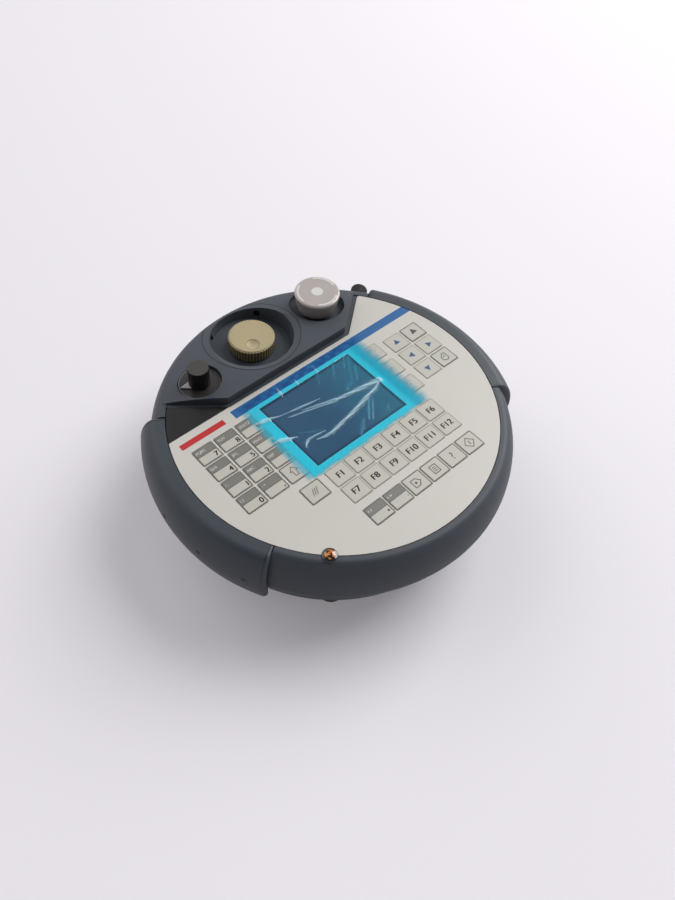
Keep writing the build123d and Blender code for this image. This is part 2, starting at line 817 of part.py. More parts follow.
# Cable gland: rubber bush through the wall, with a flange inside and an open bore
with BuildPart() as cable_gland:
    with BuildSketch(gland_plane(gland_inner_reach)):
        Circle(gland_radius)
    extrude(amount=gland_outer_reach - gland_inner_reach)
    gland_axis = Axis(origin=(0, 0, gland_height), direction=gland_outwards)
    fillet(cable_gland.edges().sort_by(gland_axis)[-1], gland_round)
    with BuildSketch(gland_plane(gland_inner_reach)):
        Circle(gland_bore_radius)
    extrude(amount=gland_outer_reach - gland_inner_reach, mode=Mode.SUBTRACT)
keep(cable_gland, "cable_gland")

# Housing screws, from the wells of the rear housing into the bosses
with BuildPart() as housing_screws:
    with BuildSketch(Plane.XY.offset(screw_seat_height)):
        with Locations(screw_places):
            Circle(screw_head_radius)
    extrude(amount=-screw_head_height)
    with BuildSketch(Plane.XY.offset(screw_seat_height)):
        with Locations(screw_places):
            Circle(screw_radius)
    extrude(amount=screw_length)
keep(housing_screws, "housing_screws")

# Rubber feet under the moulded foot bosses
with BuildPart() as rubber_feet:
    with BuildSketch():
        with Locations(foot_places):
            Circle(foot_radius - foot_edge)
    extrude(amount=foot_thickness)
    chamfer(rubber_feet.faces().group_by(Axis.Z)[0].edges(), foot_edge)
keep(rubber_feet, "rubber_feet")
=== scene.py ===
import bpy
import numpy as np
from mathutils import Matrix, Vector


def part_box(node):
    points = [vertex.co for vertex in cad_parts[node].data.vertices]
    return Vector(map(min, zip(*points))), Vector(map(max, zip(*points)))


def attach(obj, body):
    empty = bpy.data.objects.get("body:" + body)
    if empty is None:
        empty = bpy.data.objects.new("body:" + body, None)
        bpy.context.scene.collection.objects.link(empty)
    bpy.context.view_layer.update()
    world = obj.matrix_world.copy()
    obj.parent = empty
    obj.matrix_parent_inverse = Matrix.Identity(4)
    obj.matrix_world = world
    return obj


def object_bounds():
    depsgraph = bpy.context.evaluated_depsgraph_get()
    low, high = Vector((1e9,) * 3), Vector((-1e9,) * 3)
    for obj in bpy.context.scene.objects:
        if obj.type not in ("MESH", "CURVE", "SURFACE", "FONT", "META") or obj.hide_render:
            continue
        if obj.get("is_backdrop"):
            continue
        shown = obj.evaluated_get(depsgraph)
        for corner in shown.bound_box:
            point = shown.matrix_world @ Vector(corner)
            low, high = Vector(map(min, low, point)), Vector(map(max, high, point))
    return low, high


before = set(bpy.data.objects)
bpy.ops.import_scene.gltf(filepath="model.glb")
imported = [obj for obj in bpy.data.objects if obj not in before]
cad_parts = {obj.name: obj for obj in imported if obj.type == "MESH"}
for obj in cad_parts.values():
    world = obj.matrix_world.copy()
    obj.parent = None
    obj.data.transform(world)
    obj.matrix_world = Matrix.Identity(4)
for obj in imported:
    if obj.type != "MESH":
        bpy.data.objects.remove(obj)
cad_low, cad_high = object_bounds()

# Housing: two bowl-shaped shells and the dish let into the console, in slate grey ABS.
# All three are injection-moulded, with the fine grain of a spark-eroded tool that gives a soft sheen.
# Screws from below hold the shells together, the dish drops in from above, and dark lines show the joints.
mm = 0.001
softened_edge = 0.5 * mm


def linear(hex_colour):
    """sRGB hex to linear RGBA: a straight foot below 0.04, then the 2.4 power of the shifted value."""
    srgb = np.array([int(hex_colour[i:i + 2], 16) for i in (1, 3, 5)]) / 255
    curve = np.where(srgb <= 0.04045, srgb / 12.92, ((srgb + 0.055) / 1.055) ** 2.4)
    return (*curve, 1.0)


def add(tree, kind, inputs=(), **settings):
    """Adds one node: settings are its attributes, inputs are sockets with a value or an output to link."""
    node = tree.nodes.new("ShaderNode" + kind)
    for name, value in settings.items():
        setattr(node, name, value)
    for socket, value in dict(inputs).items():
        if isinstance(value, bpy.types.NodeSocket):
            tree.links.new(value, node.inputs[socket])
        else:
            node.inputs[socket].default_value = value
    return node


def new_finish(name, values):
    """Starts a material with a Principled shader and sets the values that are the same all over."""
    material = bpy.data.materials.new(name)
    material.use_nodes = True
    tree = material.node_tree
    shader = tree.nodes["Principled BSDF"]
    for socket, value in values.items():
        shader.inputs[socket].default_value = value
    place = add(tree, "TexCoord").outputs["Object"]
    return material, tree, shader, place


def moulded(name, dark, light, grain, relief, roughness, patch=45 * mm, spread=0.06, values=()):
    """A moulded plastic: broad patches of two near colours, a fine tool grain as bump over softened edges,
    and a roughness that drifts with the patches as hands polish it. The real grain is too fine to show at
    this distance, so it is drawn a few times coarser."""
    material, tree, shader, place = new_finish(name, {"IOR": 1.5, **dict(values)})
    patches = add(tree, "TexNoise", {"Vector": place, "Scale": 1 / patch, "Detail": 3.0})
    mix = add(tree, "Mix", {0: patches.outputs["Fac"], 6: linear(dark), 7: linear(light)}, data_type="RGBA")
    tree.links.new(mix.outputs[2], shader.inputs["Base Color"])
    drift = add(tree, "MapRange", {0: patches.outputs["Fac"], 3: roughness - spread, 4: roughness + spread})
    tree.links.new(drift.outputs[0], shader.inputs["Roughness"])
    pits = add(tree, "TexNoise", {"Vector": place, "Scale": 1 / grain, "Detail": 2.0})
    edges = add(tree, "Bevel", {"Radius": softened_edge}, samples=4)
    bump = add(tree, "Bump", {"Strength": 0.5, "Distance": relief, "Height": pits.outputs["Fac"],
                              "Normal": edges.outputs[0]})
    tree.links.new(bump.outputs[0], shader.inputs["Normal"])
    return material, tree, shader, place


def paint(tree, shader, *layers):
    """Lays colours over the base colour, in turn: each has a mask from 0 to 1 and a hex colour."""
    colour = shader.inputs["Base Color"].links[0].from_socket
    for mask, ink in layers:
        colour = add(tree, "Mix", {0: mask, 6: colour, 7: linear(ink)}, data_type="RGBA").outputs[2]
    tree.links.new(colour, shader.inputs["Base Color"])


def reach_from(tree, place, centre):
    """Distance from an upright axis: from the place, with its height taken out, to the centre."""
    flat = add(tree, "VectorMath", {0: place, 1: (1, 1, 0)}, operation="MULTIPLY")
    return add(tree, "VectorMath", {0: flat.outputs[0], 1: centre}, operation="DISTANCE").outputs["Value"]


def wear(material, *nodes):
    """Gives CAD nodes their finish."""
    for node in nodes:
        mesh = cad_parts[node].data
        mesh.materials.clear()
        mesh.materials.append(material)


parting_height = 44.0 * mm
joint_line = 0.3 * mm
joint_shade = "#15191d"
dish_low, dish_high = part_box("handwheel_dish")
dish_centre = (dish_low + dish_high) / 2
dish_radius = (dish_high.x - dish_low.x) / 2
slate_abs, tree, shader, place = moulded(
    "spark_eroded_slate_abs", "#383f47", "#404850", grain=0.7 * mm, relief=0.03 * mm, roughness=0.52)
axes = add(tree, "SeparateXYZ", {0: place})
parting = add(tree, "Math", {0: axes.outputs[2], 1: parting_height, 2: joint_line}, operation="COMPARE")
dish_reach = reach_from(tree, place, (dish_centre.x, dish_centre.y, 0))
dish_edge = add(tree, "Math", {0: dish_reach, 1: dish_radius, 2: joint_line}, operation="COMPARE")
console = add(tree, "Math", {0: axes.outputs[2], 1: dish_low.z}, operation="GREATER_THAN")
dish_joint = add(tree, "Math", {0: dish_edge.outputs[0], 1: console.outputs[0]}, operation="MULTIPLY")
paint(tree, shader, (parting.outputs[0], joint_shade), (dish_joint.outputs[0], joint_shade))
wear(slate_abs, "front_housing", "rear_housing", "handwheel_dish")

# Side grips: separate mouldings clipped over the bowl, in the same slate ABS.
# Their tool was left smoother than the housing's, and palms have polished them a little.
# A dark seam runs above the lower edge and beside both ends, and painted shade darkens the grip round the
# four dimples.
grip_from, grip_to, seam_inset, seam_turn = np.radians((-30.0, 35.5, 1.2, 0.16))
seam_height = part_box("left_grip")[0].z + 1.7 * mm
seam_line = 0.25 * mm
seam_and_dimple_shade = "#14181c"
grip_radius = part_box("right_grip")[1].x
dimple_angles = np.radians((-24.0, -9.0, 6.0, 20.0))
dimple_height = 60.0 * mm
dimple_shade_edge, dimple_shade_heart, dimple_shade_cover = 2.5 * mm, 1.5 * mm, 0.75
grip_abs, tree, shader, place = moulded(
    "smooth_slate_abs", "#333b43", "#3a434b", grain=1.1 * mm, relief=0.02 * mm, roughness=0.46)
axes = add(tree, "SeparateXYZ", {0: place})
outwards = add(tree, "Math", {0: axes.outputs[0]}, operation="ABSOLUTE")
angle = add(tree, "Math", {0: axes.outputs[1], 1: outwards.outputs[0]}, operation="ARCTAN2")
arc = add(tree, "Math", {0: angle.outputs[0], 1: grip_radius}, operation="MULTIPLY")
wrapped = add(tree, "CombineXYZ", {0: arc.outputs[0], 1: axes.outputs[2]})
nearest = grip_radius
for turn in dimple_angles:
    spot = (grip_radius * turn, dimple_height, 0)
    away = add(tree, "VectorMath", {0: wrapped.outputs[0], 1: spot}, operation="DISTANCE")
    nearest = add(tree, "Math", {0: away.outputs["Value"], 1: nearest}, operation="MINIMUM").outputs[0]
# Painted shade: the grip grows darker towards the middle of each dimple.
dimple_shade = add(tree, "MapRange", {0: nearest, 1: dimple_shade_edge, 2: dimple_shade_heart, 3: 0.0, 4: dimple_shade_cover})
angle = add(tree, "Math", {0: angle.outputs[0], 1: (grip_from + grip_to) / 2}, operation="SUBTRACT")
angle = add(tree, "Math", {0: angle.outputs[0]}, operation="ABSOLUTE")
half_turn = (grip_to - grip_from) / 2 - seam_inset
ends = add(tree, "Math", {0: angle.outputs[0], 1: half_turn, 2: seam_turn}, operation="COMPARE")
level = add(tree, "Math", {0: axes.outputs[2], 1: seam_height, 2: seam_line}, operation="COMPARE")
paint(tree, shader, *((mask.outputs[0], seam_and_dimple_shade) for mask in (ends, level, dimple_shade)))
wear(grip_abs, "left_grip", "right_grip")

# Enabling levers: curved pads under the grips, pressed by the fingers that hold the pendant.
# They are moulded polyamide in a lighter grey, so that they are found, and slide in slots of the rear shell.
lever_grey = moulded(
    "fine_grey_polyamide", "#83868a", "#8b8e92", grain=0.6 * mm, relief=0.03 * mm, roughness=0.5)[0]
wear(lever_grey, "enabling_lever_left", "enabling_lever_right")

# Feet and cable gland: black moulded rubber, dull and slightly dusty.
# The feet are glued into the foot bosses, the gland is snapped through the wall.
black_rubber = moulded(
    "moulded_black_rubber", "#141414", "#1d1d1d", grain=0.9 * mm, relief=0.05 * mm, roughness=0.78)[0]
wear(black_rubber, "rubber_feet", "cable_gland")

# Housing screws: zinc-plated steel, turned in from below and sunk at the bottom of their wells.
# The plating leaves a fine pale bloom on the metal.
zinc_steel = moulded(
    "zinc_plated_steel", "#9a9c9e", "#b1b3b3", grain=1.5 * mm, relief=0.01 * mm, roughness=0.35,
    patch=4 * mm, values={"Metallic": 1.0})[0]
wear(zinc_steel, "housing_screws")

# Inner pieces: a board with a dome under each key, and the bodies of the switches and the encoder.
# The board is coated with green resist and the bodies are black nylon; none shows while the housing is shut.
board_resist = moulded(
    "green_solder_resist", "#1d5a35", "#24663d", grain=0.8 * mm, relief=0.01 * mm, roughness=0.3)[0]
wear(board_resist, "keypad_board")
black_switch = moulded(
    "black_switch_nylon", "#17181a", "#1f2022", grain=0.6 * mm, relief=0.02 * mm, roughness=0.5)[0]
wear(black_switch, "handwheel_encoder", "override_switch", "stop_switch", "stop_plunger")

# Face plate: a stiff panel faced with polyester foil, pale grey with a fine matt emboss.
# The foil is printed from behind: a blue strip under the console, a plain red bar beside it,
# a glossy black left wing, and black on the cut edge of the display's window.
strip = (-57.7, 112.0, 35.3, 42.6)
accent = (-101.0, -65.5, 36.0, 40.6)
window = (-40.8, 40.8, -29.6, 31.9)
window_edge = np.add(window, (-0.2, 0.2, -0.2, 0.2))
wing = (cad_low.x / mm, 0.0, 46.4, cad_high.y / mm)
wing_roughness = 0.3


def inside(tree, axes, area):
    """1 inside a rectangle of the face, given in millimetres, and 0 outside: both distances from its middle
    are under half its sides."""
    low_x, high_x, low_y, high_y = np.multiply(area, mm)
    across = add(tree, "Math", {0: axes.outputs[0], 1: (low_x + high_x) / 2, 2: (high_x - low_x) / 2},
                 operation="COMPARE")
    along = add(tree, "Math", {0: axes.outputs[1], 1: (low_y + high_y) / 2, 2: (high_y - low_y) / 2},
                operation="COMPARE")
    return add(tree, "Math", {0: across.outputs[0], 1: along.outputs[0]}, operation="MULTIPLY").outputs[0]


foil, tree, shader, place = moulded(
    "embossed_printed_foil", "#cbc8c1", "#d2cfc8", grain=0.5 * mm, relief=0.012 * mm, roughness=0.42)
axes = add(tree, "SeparateXYZ", {0: place})
wing_mask = inside(tree, axes, wing)
paint(tree, shader, (inside(tree, axes, window_edge), "#0b1116"), (inside(tree, axes, strip), "#17619e"),
      (inside(tree, axes, accent), "#bf2026"), (wing_mask, "#0a0a0c"))
foil_roughness = shader.inputs["Roughness"].links[0].from_socket
gloss = add(tree, "Mix", {0: wing_mask, 2: foil_roughness, 3: wing_roughness}, data_type="FLOAT")
tree.links.new(gloss.outputs[0], shader.inputs["Roughness"])
wear(foil, "face_plate")

# Display: a grey liquid-crystal panel behind clear glass, unlit, set just below the face.
# Painted shade darkens the glass towards the window's edge, where the face shades it, and the glass mirrors
# the room.
glass_low = Vector((window[0], window[2], 0)) * mm
glass_high = Vector((window[1], window[3], 0)) * mm
edge_shade_reach, edge_shade_solid = 2.6 * mm, 0.6 * mm
cell_patch = 24 * mm
display_glass, tree, shader, place = new_finish(
    "unlit_lcd_glass", {"Roughness": 0.12, "IOR": 1.5, "Coat Weight": 0.6})
cells = add(tree, "TexNoise", {"Vector": place, "Scale": 1 / cell_patch, "Detail": 2.0})
cells = add(tree, "MapRange", {0: cells.outputs["Fac"], 1: 0.35, 2: 0.65})
mix = add(tree, "Mix", {0: cells.outputs[0], 6: linear("#243f4b"), 7: linear("#344459")}, data_type="RGBA")
tree.links.new(mix.outputs[2], shader.inputs["Base Color"])
offset = add(tree, "VectorMath", {0: place, 1: (glass_low + glass_high) / 2}, operation="SUBTRACT")
offset = add(tree, "VectorMath", {0: offset.outputs[0]}, operation="ABSOLUTE")
glass_half = (glass_high - glass_low) / 2
offset = add(tree, "VectorMath", {0: offset.outputs[0], 1: glass_half}, operation="SUBTRACT")
axes = add(tree, "SeparateXYZ", {0: offset.outputs[0]})
past_edge = add(tree, "Math", {0: axes.outputs[0], 1: axes.outputs[1]}, operation="MAXIMUM")
# Painted shade: the glass darkens within a few millimetres of the window's edge.
edge_shade = add(tree, "MapRange", {0: past_edge.outputs[0], 1: -edge_shade_reach, 2: -edge_shade_solid})
paint(tree, shader, (edge_shade.outputs[0], "#070d12"))
wear(display_glass, "display_module")

# Keys: embossed fields of the same foil over snap domes, a little warmer than the panel.
# A printed line runs round each key, and the number keys are dark grey in their upper half.
# The legends are screen-printed on the foil and move with their key.
key_foil = moulded(
    "embossed_key_foil", "#bfbdb3", "#c6c4b9", grain=0.5 * mm, relief=0.012 * mm, roughness=0.42)[0]
keys = [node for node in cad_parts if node.startswith("key_")]
wear(key_foil, *keys)


def printed_ink(name, colour):
    """Screen-printed ink: an even matt colour with a slight drift of gloss, as the mesh leaves it."""
    return moulded(name, colour, colour, grain=0.4 * mm, relief=0.005 * mm, roughness=0.45)[0]


dark_ink = printed_ink("dark_grey_ink", "#4c4b47")
half_ink = printed_ink("mid_grey_ink", "#7b7a74")
faint_ink = printed_ink("beige_ink", "#aba698")
white_ink = printed_ink("white_ink", "#dcdbd6")
blue_ink = printed_ink("blue_ink", "#2a5180")


def bar(x0, y0, x1, y1):
    """Rectangle between two corners, as four points and one face."""
    return np.array([(x0, y0), (x1, y0), (x1, y1), (x0, y1)]), [(0, 1, 2, 3)]


def stroke(points, width, closed=False):
    """Ribbon along a broken line: each point moves half the width to both sides, along the mean of the
    normals of its two runs, divided by the cosine of half the turn so that the ribbon keeps its width."""
    points = np.asarray(points, float)
    ahead = np.roll(points, -1, 0) - points
    ahead /= np.linalg.norm(ahead, axis=1)[:, None]
    behind = np.roll(ahead, 1, 0)
    if not closed:
        ahead[-1], behind[0] = behind[-1], ahead[0]
    middle = ahead + behind
    middle /= np.linalg.norm(middle, axis=1)[:, None]
    reach = width / 2 / np.maximum(np.sum(middle * ahead, 1), 0.3)
    normal = np.stack([-middle[:, 1], middle[:, 0]], 1) * reach[:, None]
    count = len(points)
    first = np.arange(count if closed else count - 1)
    following = (first + 1) % count
    faces = np.stack([first, following, following + count, first + count], 1)
    return np.concatenate([points - normal, points + normal]), faces.tolist()


def round_points(radius, angles):
    """Points at one radius from the middle, at angles in degrees."""
    turn = np.radians(angles)
    return radius * np.stack([np.cos(turn), np.sin(turn)], -1)


def ring(radius, width, start=0.0, turn=360.0, steps=48):
    """Flat ring or arc: a stroke along points at one radius, evenly spaced in angle."""
    closed = turn >= 360.0
    angles = start + turn * np.arange(steps + (not closed)) / steps
    return stroke(round_points(radius, angles), width, closed)


def disc(radius, steps=48):
    """Round dot: one face through points at one radius."""
    return round_points(radius, 360 * np.arange(steps) / steps), [tuple(range(steps))]


def rounded(half_x, half_y, radius, steps=5):
    """Rectangle with round corners: a quarter turn about each corner's centre, corner after corner."""
    angles = np.linspace(0, 90, steps) + np.array([[0], [90], [180], [270]])
    centres = np.array([(1, 1), (-1, 1), (-1, -1), (1, -1)]) * (half_x - radius, half_y - radius)
    return (centres[:, None] + round_points(radius, angles)).reshape(-1, 2)


def triangle(size):
    """Arrowhead that points up the face: three corners at equal angles."""
    return disc(size, 3)[0] @ np.array([(0, 1), (-1, 0)]), [(0, 1, 2)]


def lettering(text, height, bold=0.0):
    """Plain sans letters or figures as a flat mesh, centred, scaled so that a capital has the height given,
    and laid down three times side by side where they are bold."""
    curve = bpy.data.curves.new("lettering", "FONT")
    curve.body = text
    holder = bpy.data.objects.new("lettering", curve)
    mesh = bpy.data.meshes.new_from_object(holder)
    flat = np.zeros(len(mesh.vertices) * 3)
    mesh.vertices.foreach_get("co", flat)
    capital = 0.7
    points = flat.reshape(-1, 3)[:, :2] * height / capital
    faces = [tuple(face.vertices) for face in mesh.polygons]
    bpy.data.objects.remove(holder)
    bpy.data.curves.remove(curve)
    bpy.data.meshes.remove(mesh)
    points = points - (points.min(0) + points.max(0)) / 2
    shifts = (-bold, 0.0, bold) if bold else (0.0,)
    starts = [copy * len(points) for copy in range(len(shifts))]
    copies = [tuple(start + corner for corner in face) for start in starts for face in faces]
    return np.concatenate([points + (shift, 0.0) for shift in shifts]), copies


def moved(shape, x, y, angle=0.0):
    """A flat shape turned by an angle and carried to a place."""
    turn = np.radians(angle)
    matrix = np.array([(np.cos(turn), np.sin(turn)), (-np.sin(turn), np.cos(turn))])
    return shape[0] @ matrix + (x, y), shape[1]


def add_piece(name, points, faces, materials, indices, body):
    """Makes a mesh object at the origin from points and faces, and lets it ride on a body."""
    mesh = bpy.data.meshes.new(name)
    mesh.from_pydata(np.asarray(points, float).tolist(), [], faces)
    for material in materials:
        mesh.materials.append(material)
    mesh.polygons.foreach_set("material_index", np.asarray(indices, np.int32))
    mesh.update()
    piece = bpy.data.objects.new(name, mesh)
    bpy.context.scene.collection.objects.link(piece)
    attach(piece, body)
    return piece


ink_lift = 0.03 * mm
ink_step = 0.012 * mm


def print_on(name, centre, height, layers, body):
    """Flat print: each layer is an ink and a shape in millimetres about the centre. The first lies just
    above the surface, and each of the others one ink step above the last."""
    points, faces, indices, inks = [], [], [], []
    for level, (ink, shape) in enumerate(layers):
        if ink not in inks:
            inks.append(ink)
        start = sum(len(block) for block in points)
        z = np.full(len(shape[0]), height + ink_lift + ink_step * level)
        points.append(np.column_stack([shape[0] * mm + centre, z]))
        faces += [tuple(start + corner for corner in face) for face in shape[1]]
        indices += [inks.index(ink)] * len(shape[1])
    return add_piece(name, np.concatenate(points), faces, inks, indices, body)


# The prints are drawn in millimetres about the middle of a key.
half_width = 7.75
half_depth = 7.1
line = 0.55
inset = 0.12 + line / 2
outline_corner = 0.6
outline = stroke(rounded(half_width - inset, half_depth - inset, outline_corner), line, True)
divide_low, divide_high, upper_low = 0.1, 0.5, 0.4
upper_half = bar(-half_width + line, upper_low, half_width - line, half_depth - line)
divide = bar(-half_width + line, divide_low, half_width - line, divide_high)
small_marks = {
    "2": "ABC", "3": "DEF", "4": "GHI", "5": "JKL", "6": "MNO", "7": "PQRS", "8": "TUV", "9": "WXYZ",
    "0": "( )", "1": "/ :", "point": "; =", "plus": "x y", "minus": "z w"}
small_height, figure_height, sign_height, function_height = 2.1, 3.9, 2.6, 4.6
small_margin, figure_margin = 1.3, 1.5
small_row, figure_row = 3.5, -3.4
figure_bold, function_bold = 0.13, 0.2
point_radius, point_drop = 0.55, 1.4
signs = {"plus": "+", "minus": "-"}
arrow_size = 3.0
icons = {
    "shift": [(dark_ink, stroke([(0, 4), (3, 0.6), (1.4, 0.6), (1.4, -3.4), (-1.4, -3.4), (-1.4, 0.6),
                                 (-3, 0.6)], 0.5, True))],
    "clear": [(dark_ink, stroke([(x - 1.3, -2.6), (x + 1.3, 2.6)], 0.45)) for x in (-1.6, 0.0, 1.6)],
    "tag": [(dark_ink, stroke([(-3.2, 3), (0.8, 3), (3.4, 0), (0.8, -3), (-3.2, -3)], 0.6, True)),
            (dark_ink, moved(disc(0.9, 24), -0.6, 0))],
    "print": [(dark_ink, stroke([(-2.6, 3.2), (2.6, 3.2), (2.6, -3.2), (-2.6, -3.2)], 0.6, True))]
    + [(dark_ink, stroke([(-1.5, y), (1.5, y)], 0.5)) for y in (1.4, 0.0, -1.4)],
    "help": [(dark_ink, lettering("?", 6.0))],
    "enter": [(dark_ink, stroke([(0, 4.2), (4.2, 0), (0, -4.2), (-4.2, 0)], 0.55, True)),
              (dark_ink, stroke([(0, -1.6), (0, 1.6)], 0.6))],
    "page": [(dark_ink, moved(triangle(3.4), 0.4, 0.3, -110))],
    "hand": [(half_ink, stroke([(-2.6, 0.4), (0.6, 3.4), (2.6, 2.6), (2.6, -2.4), (0.4, -3.6), (-2.6, -2.2)],
                               0.9, True)), (half_ink, stroke([(-1.2, -0.4), (1.4, 1.2)], 0.7))],
}
dark_outlined = set(icons)
for label, turn in (("up", 0), ("left", 90), ("down", 180), ("right", -90)):
    icons[label] = [(blue_ink, moved(triangle(arrow_size), 0, 0, turn))]
icons["side_upper"] = [(faint_ink, moved(ring(2.1, 0.5), 3.2, 3.2))]
icons["side_middle"] = [(half_ink, stroke([(-1.0, 0.4), (1.4, 0.4)], 0.5))]
icons["side_lower"] = [(half_ink, stroke([(-1.0, -0.2), (1.4, -0.2)], 0.5))]
for node in keys:
    label = node[len("key_"):]
    low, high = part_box(node)
    centre = np.array([(low.x + high.x) / 2, (low.y + high.y) / 2])
    if label in small_marks:
        small = lettering(small_marks[label], small_height)
        if label == "point":
            figure = moved(disc(point_radius, 16), 0, -point_drop)
        else:
            height = figure_height if label.isdigit() else sign_height
            figure = lettering(signs.get(label, label), height, figure_bold)
        left = -half_width + small_margin - small[0][:, 0].min()
        right = half_width - figure_margin - figure[0][:, 0].max()
        layers = [(dark_ink, outline), (half_ink, upper_half), (dark_ink, divide),
                  (white_ink, moved(small, left, small_row)), (dark_ink, moved(figure, right, figure_row))]
    elif label[0] == "f":
        name = lettering(label.upper(), function_height, function_bold)
        layers = [(faint_ink, outline), (dark_ink, name)]
    else:
        layers = [(dark_ink if label in dark_outlined else faint_ink, outline), *icons[label]]
    print_on(node + "_print", centre, high.z, layers, node)

# Protective film: clear blue polyester laid over the display for transport, never peeled off.
# It clings to the panel round the window, has lifted into creases across the glass,
# each with a painted highlight along it, and thins to nothing over the keys on both sides.
face_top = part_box("face_plate")[1].z
film_low = np.array([-55.5, -37.6])
film_high = np.array([61.5, 42.7])
film_step = 0.34
film_lift = 0.45
glass_sag = 0.35
# A crease is a line of places with a half width each, all in millimetres, then its height and the strength
# of its painted highlight.
creases = [
    ([(-51, 22, 0.7), (-45, 21.3, 1.7), (-40, 20.4, 1.4), (-34.5, 18.2, 0.6), (-28, 16.9, 0.4)], 0.7, 0.8),
    ([(-27, 16.8, 0.4), (-21.7, 15.9, 1.0), (-12, 14.2, 1.0), (-2.4, 12.7, 0.3)], 0.5, 0.8),
    ([(-30, 13.6, 0.4), (-27.2, 12.7, 0.7), (-10, 8.2, 0.8), (5.8, 3.6, 1.0)], 0.4, 0.75),
    ([(-19, 12.4, 0.3), (-8, 9.4, 0.8), (0, 7.0, 1.0), (5.8, 5.2, 1.4)], 0.5, 0.8),
    ([(5.8, 4.6, 1.4), (18, 2.6, 1.9), (30, 0.9, 2.2), (38, -0.2, 2.3), (41.6, -0.6, 1.9)], 0.8, 0.85),
    ([(-51.5, 2.6, 0.7), (-46, 1, 1.8), (-41, -1.2, 1.6), (-36, -3, 0.4)], 0.7, 0.85),
    ([(-37.2, -13.4, 0.4), (-34.5, -10.6, 0.9), (-31.7, -9.3, 1.0), (-25.3, -9.7, 0.9),
      (-18, -10.7, 0.3)], 0.5, 0.8),
    ([(-27.2, -13, 0.5), (-21, -14.6, 1.2), (-16.2, -14.8, 1.4), (-3.3, -12.5, 1.4), (7.7, -10.7, 1.5),
      (20.5, -7.5, 1.6), (34.2, -4.6, 1.2), (41, -2, 0.6)], 0.7, 0.85),
    ([(-21.5, 30, 0.4), (-20.6, 33.5, 1.3), (-20, 38, 0.4)], 0.3, 0.7),
    ([(-6, 31, 0.4), (-5.6, 34, 0.7), (-5, 37, 0.3)], 0.3, 0.5),
    ([(12, 32, 0.3), (12.5, 35, 0.6), (13, 39, 0.3)], 0.3, 0.4),
]
# A streak is such a line where the film is stretched and bluer, then how dense it is.
streaks = [
    ([(11, 31, 1.3), (6.3, 23.8, 0.4)], 0.5), ([(25.5, 30.5, 1.0), (18.9, 22, 0.5)], 0.6),
    ([(36, 31, 0.9), (30.2, 23.3, 0.4)], 0.6), ([(38.5, 29, 2.2), (27, 11.8, 1.2)], 0.55),
    ([(37, 20, 1.5), (29.8, 9.5, 0.7)], 0.6), ([(24.5, 10, 2.4), (18, 7.4, 1.0)], 0.6),
    ([(24, -8.8, 0.5), (17, -16, 1.1), (11.4, -22.6, 0.5)], 0.7),
    ([(26.2, -10, 0.4), (19, -18, 0.9), (13.4, -24.4, 0.4)], 0.6),
    ([(8.5, -20, 0.6), (3, -24.5, 1.8), (-1, -28, 1.2)], 0.55), ([(31, -20, 1.2), (27, -23.6, 1.6)], 0.5),
    ([(-33.1, -1.2, 0.5), (-26.4, -5.7, 0.8), (-20, -8, 0.3)], 0.5),
    ([(-31, -3.2, 0.4), (-24, -7.4, 0.7)], 0.4), ([(-2, 3, 2.0), (10, -4, 3.0), (22, -5, 2.0)], 0.3),
]
streak_height = 0.15
streak_spread = 1.5


def across_ribbon(x, y, points):
    """Place across a tapering line, from -1 to 1 between its edges, and distance along it: each grid point
    is dropped on every run, held between the run's ends, and the run with the least ratio to its width
    counts."""
    across = np.full(x.shape, np.inf)
    along = np.zeros(x.shape)
    passed = 0.0
    for (ax, ay, aw), (bx, by, bw) in zip(points[:-1], points[1:]):
        length = np.hypot(bx - ax, by - ay)
        share = np.clip(((x - ax) * (bx - ax) + (y - ay) * (by - ay)) / length ** 2, 0, 1)
        off_x = x - ax - share * (bx - ax)
        off_y = y - ay - share * (by - ay)
        side = np.where((bx - ax) * off_y < (by - ay) * off_x, -1.0, 1.0)
        ratio = side * np.hypot(off_x, off_y) / (aw + share * (bw - aw))
        nearer = np.abs(ratio) < np.abs(across)
        across = np.where(nearer, ratio, across)
        along = np.where(nearer, passed + share * length, along)
        passed += length
    return across, along


def smooth(value, low, high):
    """0 below low, 1 above high, and the cubic with level ends between them."""
    share = np.clip((value - low) / (high - low), 0, 1)
    return share * share * (3 - 2 * share)


def over_window(x, y, low, high):
    """Rises from 0 to 1 as the way in from the nearest edge of the window grows from low to high."""
    way_x = np.minimum(x - window[0], window[1] - x)
    way_y = np.minimum(y - window[2], window[3] - y)
    return smooth(np.minimum(way_x, way_y), low, high)


film_count = np.ceil((film_high - film_low) / film_step).astype(int) + 1
film_x, film_y = np.meshgrid(
    np.linspace(film_low[0], film_high[0], film_count[0]),
    np.linspace(film_low[1], film_high[1], film_count[1]), indexing="ij")
# The film fades out over a few millimetres, frayed at its sides and wavering above and below.
fray = np.sin(film_y * 0.83 + 1.2) + 0.6 * np.sin(film_y * 1.9)
waver = 0.4 * np.sin(film_x * 0.33) + 0.2 * np.sin(film_x * 1.1 + 0.7)
